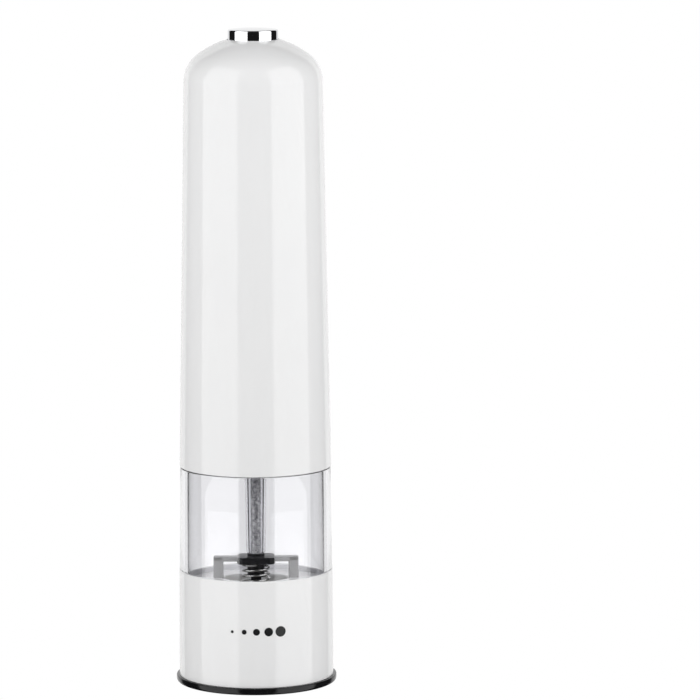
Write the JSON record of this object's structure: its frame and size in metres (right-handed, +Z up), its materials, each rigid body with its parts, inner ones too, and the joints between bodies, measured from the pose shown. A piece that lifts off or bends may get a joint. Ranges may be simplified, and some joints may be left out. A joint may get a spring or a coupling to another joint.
{
  "type": "pepper mill",
  "caption": "Tall battery-powered pepper mill: white housing with push button, clear pepper chamber, conical burr grinder in a white base",
  "frame": {"origin": "middle of the foot ring's underside, on the mill's own axis", "axes": "+Z up along the mill's axis, front towards -Y, +X to the right seen from the front"},
  "size_m": [0.054, 0.054, 0.2203],
  "materials": {
    "gloss_black": "gloss black moulded plastic",
    "gloss_white": "gloss white lacquered plastic",
    "clear_acrylic": "clear acrylic",
    "white_plastic": "semi-gloss white moulded plastic",
    "ceramic": "ground white ceramic",
    "bracket_grey": "plain grey metal",
    "black_plastic": "satin black moulded plastic",
    "frame_grey": "satin grey moulded plastic",
    "gear_nylon": "natural nylon",
    "gear_steel": "sintered steel",
    "plated_steel": "nickel-plated steel",
    "spring_steel": "bright spring wire",
    "screw_steel": "zinc-plated steel",
    "motor_steel": "rolled plated can",
    "bronze": "sintered bronze",
    "contact_brass": "nickel-tinted brass sheet",
    "seal_rubber": "black rubber",
    "milky_silicone": "milky silicone",
    "chrome": "polished chrome plate",
    "cell_wrap": "printed film over a steel can",
    "copper": "laminations and enamelled windings"
  },
  "bodies": {
    "base": {"foot_ring": "gloss_black", "bottom_plate": "black_plastic", "bottom_screws": "screw_steel", "base_sleeve": "gloss_white", "grinder_housing": "white_plastic", "chamber_seal": "seal_rubber", "outer_burr": "ceramic", "burr_retainer": "black_plastic", "bridge_bracket": "bracket_grey", "bridge_bush": "black_plastic", "pepper_chamber": "clear_acrylic"},
    "spindle": {"grind_spindle": "black_plastic", "burr_spring": "spring_steel"},
    "cone": {"inner_burr": "ceramic"},
    "knob": {"adjust_knob": "black_plastic"},
    "power_unit": {"power_base": "white_plastic", "spigot_seal": "milky_silicone", "shaft_tube": "clear_acrylic", "output_bush": "bronze", "gearbox_case": "frame_grey", "gearbox_cap": "frame_grey", "gearbox_screws": "screw_steel", "motor_screws": "screw_steel", "motor_can": "motor_steel", "motor_endcap": "black_plastic", "motor_strips": "contact_brass", "power_frame": "frame_grey", "battery_holder": "frame_grey", "holder_screws": "screw_steel", "battery_1": "cell_wrap", "battery_2": "cell_wrap", "battery_3": "cell_wrap", "battery_4": "cell_wrap", "battery_springs": "spring_steel", "contact_upper": "contact_brass", "contact_lower": "contact_brass", "switch_body": "black_plastic"},
    "rotor": {"motor_rotor": "copper", "motor_pinion": "bronze"},
    "middle_stage": {"middle_carrier": "gear_steel"},
    "output_stage": {"output_carrier": "gear_steel", "drive_shaft": "plated_steel"},
    "plunger": {"switch_plunger": "white_plastic"},
    "guide": {"button_guide": "white_plastic", "button_spring": "spring_steel"},
    "button": {"button_cap": "chrome"},
    "shell": {"outer_shell": "gloss_white"},
    "planet_low_1": {"planet_low_1": "gear_steel"},
    "planet_low_2": {"planet_low_2": "gear_steel"},
    "planet_low_3": {"planet_low_3": "gear_steel"},
    "planet_high_1": {"planet_high_1": "gear_nylon"},
    "planet_high_2": {"planet_high_2": "gear_nylon"},
    "planet_high_3": {"planet_high_3": "gear_nylon"}
  },
  "joints": [
    {"name": "grinder_spin", "type": "hinge", "parent": "base", "child": "spindle", "pos_m": [0, 0, 0], "axis": [0, 0, 1], "continuous": true},
    {"name": "grind_gap", "type": "slide", "parent": "spindle", "child": "cone", "axis": [0, 0, -1], "range_m": [0, 0.0007], "deforming": ["burr_spring"]},
    {"name": "adjust_turn", "type": "hinge", "parent": "cone", "child": "knob", "pos_m": [0, 0, 0], "axis": [0, 0, 1], "range_deg": [0, 360]},
    {"name": "power_unit_lift", "type": "slide", "parent": "base", "child": "power_unit", "axis": [0, 0, 1], "range_m": [0, 0.06]},
    {"name": "motor_spin", "type": "hinge", "parent": "power_unit", "child": "rotor", "pos_m": [0, 0, 0], "axis": [0, 0, 1], "continuous": true},
    {"name": "middle_spin", "type": "hinge", "parent": "power_unit", "child": "middle_stage", "pos_m": [0, 0, 0], "axis": [0, 0, 1], "continuous": true},
    {"name": "drive_spin", "type": "hinge", "parent": "power_unit", "child": "output_stage", "pos_m": [0, 0, 0], "axis": [0, 0, 1], "continuous": true},
    {"name": "switch_press", "type": "slide", "parent": "power_unit", "child": "plunger", "axis": [0, 0, -1], "range_m": [0, 0.002]},
    {"name": "shell_lift", "type": "slide", "parent": "power_unit", "child": "guide", "axis": [0, 0, 1], "range_m": [0, 0.15]},
    {"name": "button_press", "type": "slide", "parent": "guide", "child": "button", "axis": [0, 0, -1], "range_m": [0, 0.002], "stiffness_N_per_m": 900, "springref_m": -0.0015, "deforming": ["button_spring"]},
    {"name": "shell_twist", "type": "hinge", "parent": "guide", "child": "shell", "pos_m": [0, 0, 0], "axis": [0, 0, 1], "range_deg": [0, 50]},
    {"name": "planet_low_1_spin", "type": "hinge", "parent": "output_stage", "child": "planet_low_1", "pos_m": [0.009, 0, 0.0922], "axis": [0, 0, 1], "continuous": true},
    {"name": "planet_low_2_spin", "type": "hinge", "parent": "output_stage", "child": "planet_low_2", "pos_m": [-0.0045, 0.00779, 0.0922], "axis": [0, 0, 1], "continuous": true},
    {"name": "planet_low_3_spin", "type": "hinge", "parent": "output_stage", "child": "planet_low_3", "pos_m": [-0.0045, -0.00779, 0.0922], "axis": [0, 0, 1], "continuous": true},
    {"name": "planet_high_1_spin", "type": "hinge", "parent": "middle_stage", "child": "planet_high_1", "pos_m": [0.009, 0, 0.1008], "axis": [0, 0, 1], "continuous": true},
    {"name": "planet_high_2_spin", "type": "hinge", "parent": "middle_stage", "child": "planet_high_2", "pos_m": [-0.0045, 0.00779, 0.1008], "axis": [0, 0, 1], "continuous": true},
    {"name": "planet_high_3_spin", "type": "hinge", "parent": "middle_stage", "child": "planet_high_3", "pos_m": [-0.0045, -0.00779, 0.1008], "axis": [0, 0, 1], "continuous": true}
  ],
  "couplings": [
    {"joint": "adjust_turn", "follows": "grind_gap", "rad_per_m": 8975.9},
    {"joint": "grinder_spin", "follows": "motor_spin", "ratio": 0.04},
    {"joint": "drive_spin", "follows": "motor_spin", "ratio": 0.04},
    {"joint": "middle_spin", "follows": "motor_spin", "ratio": 0.2},
    {"joint": "switch_press", "follows": "button_press", "ratio": 1},
    {"joint": "planet_low_1_spin", "follows": "motor_spin", "ratio": -0.10667},
    {"joint": "planet_low_2_spin", "follows": "motor_spin", "ratio": -0.10667},
    {"joint": "planet_low_3_spin", "follows": "motor_spin", "ratio": -0.10667},
    {"joint": "planet_high_1_spin", "follows": "motor_spin", "ratio": -0.53333},
    {"joint": "planet_high_2_spin", "follows": "motor_spin", "ratio": -0.53333},
    {"joint": "planet_high_3_spin", "follows": "motor_spin", "ratio": -0.53333}
  ]
}
